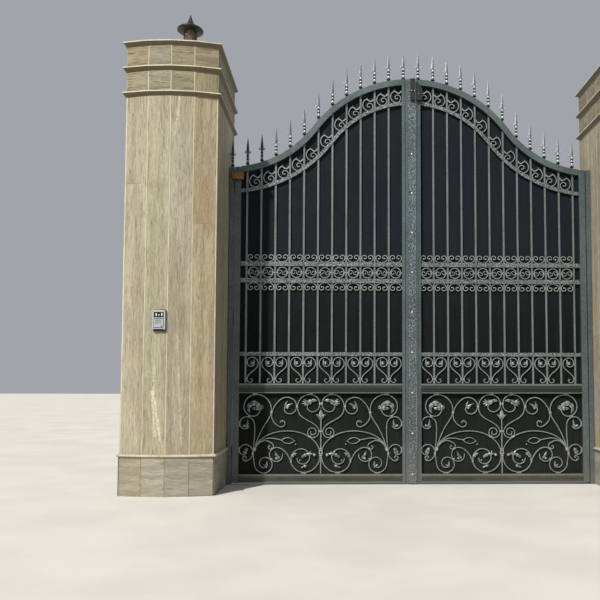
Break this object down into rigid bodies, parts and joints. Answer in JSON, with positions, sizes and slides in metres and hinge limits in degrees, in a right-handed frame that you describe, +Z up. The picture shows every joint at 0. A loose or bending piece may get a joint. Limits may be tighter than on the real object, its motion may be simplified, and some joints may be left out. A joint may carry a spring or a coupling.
{
  "type": "wrought iron driveway gate",
  "caption": "Arched double driveway gate of scrolled wrought iron with dark backing sheets, hung on steel posts between stone clad pillars with lamps.",
  "frame": {"origin": "on the ground, in the middle between the pillars and of their depth", "axes": "+X along the gate to the right as seen from the street, +Y inward from the street, +Z up"},
  "size_m": [5.27, 1.08, 4.535],
  "materials": {
    "shaft_stone": "sawn travertine",
    "cream_stone": "honed",
    "plinth_stone": "honed, weathered",
    "lamp_metal": "dark bronze paint",
    "intercom_metal": "brushed",
    "frame_iron": "dark green grey paint rubbed with silver",
    "bar_iron": "dark paint rubbed with silver",
    "hammered_iron": "hammered, dark paint rubbed with silver",
    "scroll_iron": "dark paint rubbed with silver",
    "finial_iron": "dark paint",
    "sheet_iron": "matt charcoal paint",
    "latch_iron": "dark green paint",
    "amber_plastic": "amber"
  },
  "bodies": {
    "posts": {"left_plinth": "plinth_stone", "left_base_ledge": "cream_stone", "left_shaft": "shaft_stone", "left_crown": "shaft_stone", "left_cap": "cream_stone", "left_lamp": "lamp_metal", "right_plinth": "plinth_stone", "right_base_ledge": "cream_stone", "right_shaft": "shaft_stone", "right_crown": "shaft_stone", "right_cap": "cream_stone", "right_lamp": "lamp_metal", "intercom": "intercom_metal", "left_hinge_post": "frame_iron", "right_hinge_post": "frame_iron", "left_post_finial": "finial_iron"},
    "left_leaf": {"left_hinge_stile": "frame_iron", "left_meeting_stile": "frame_iron", "left_bottom_rail": "frame_iron", "left_middle_rail": "frame_iron", "left_arch_rail": "frame_iron", "left_bars": "bar_iron", "left_flat_rails": "hammered_iron", "left_inner_arch_rail": "hammered_iron", "left_finials": "finial_iron", "left_crest_scrolls": "scroll_iron", "left_ring_scrolls": "scroll_iron", "left_heart_scrolls": "scroll_iron", "left_panel_scrolls": "scroll_iron", "left_backing": "sheet_iron", "cover_strip": "hammered_iron", "latch_keeper": "latch_iron", "amber_box": "amber_plastic"},
    "right_leaf": {"right_hinge_stile": "frame_iron", "right_meeting_stile": "frame_iron", "right_bottom_rail": "frame_iron", "right_middle_rail": "frame_iron", "right_arch_rail": "frame_iron", "right_bars": "bar_iron", "right_flat_rails": "hammered_iron", "right_inner_arch_rail": "hammered_iron", "right_finials": "finial_iron", "right_crest_scrolls": "scroll_iron", "right_ring_scrolls": "scroll_iron", "right_heart_scrolls": "scroll_iron", "right_panel_scrolls": "scroll_iron", "right_backing": "sheet_iron", "latch_box": "latch_iron"}
  },
  "joints": [
    {"name": "left_hinge", "type": "hinge", "parent": "posts", "child": "left_leaf", "pos_m": [-1.737, 0.237, 0], "axis": [0, 0, 1], "range_deg": [0, 90]},
    {"name": "right_hinge", "type": "hinge", "parent": "posts", "child": "right_leaf", "pos_m": [1.737, 0.237, 0], "axis": [0, 0, -1], "range_deg": [0, 90]}
  ]
}
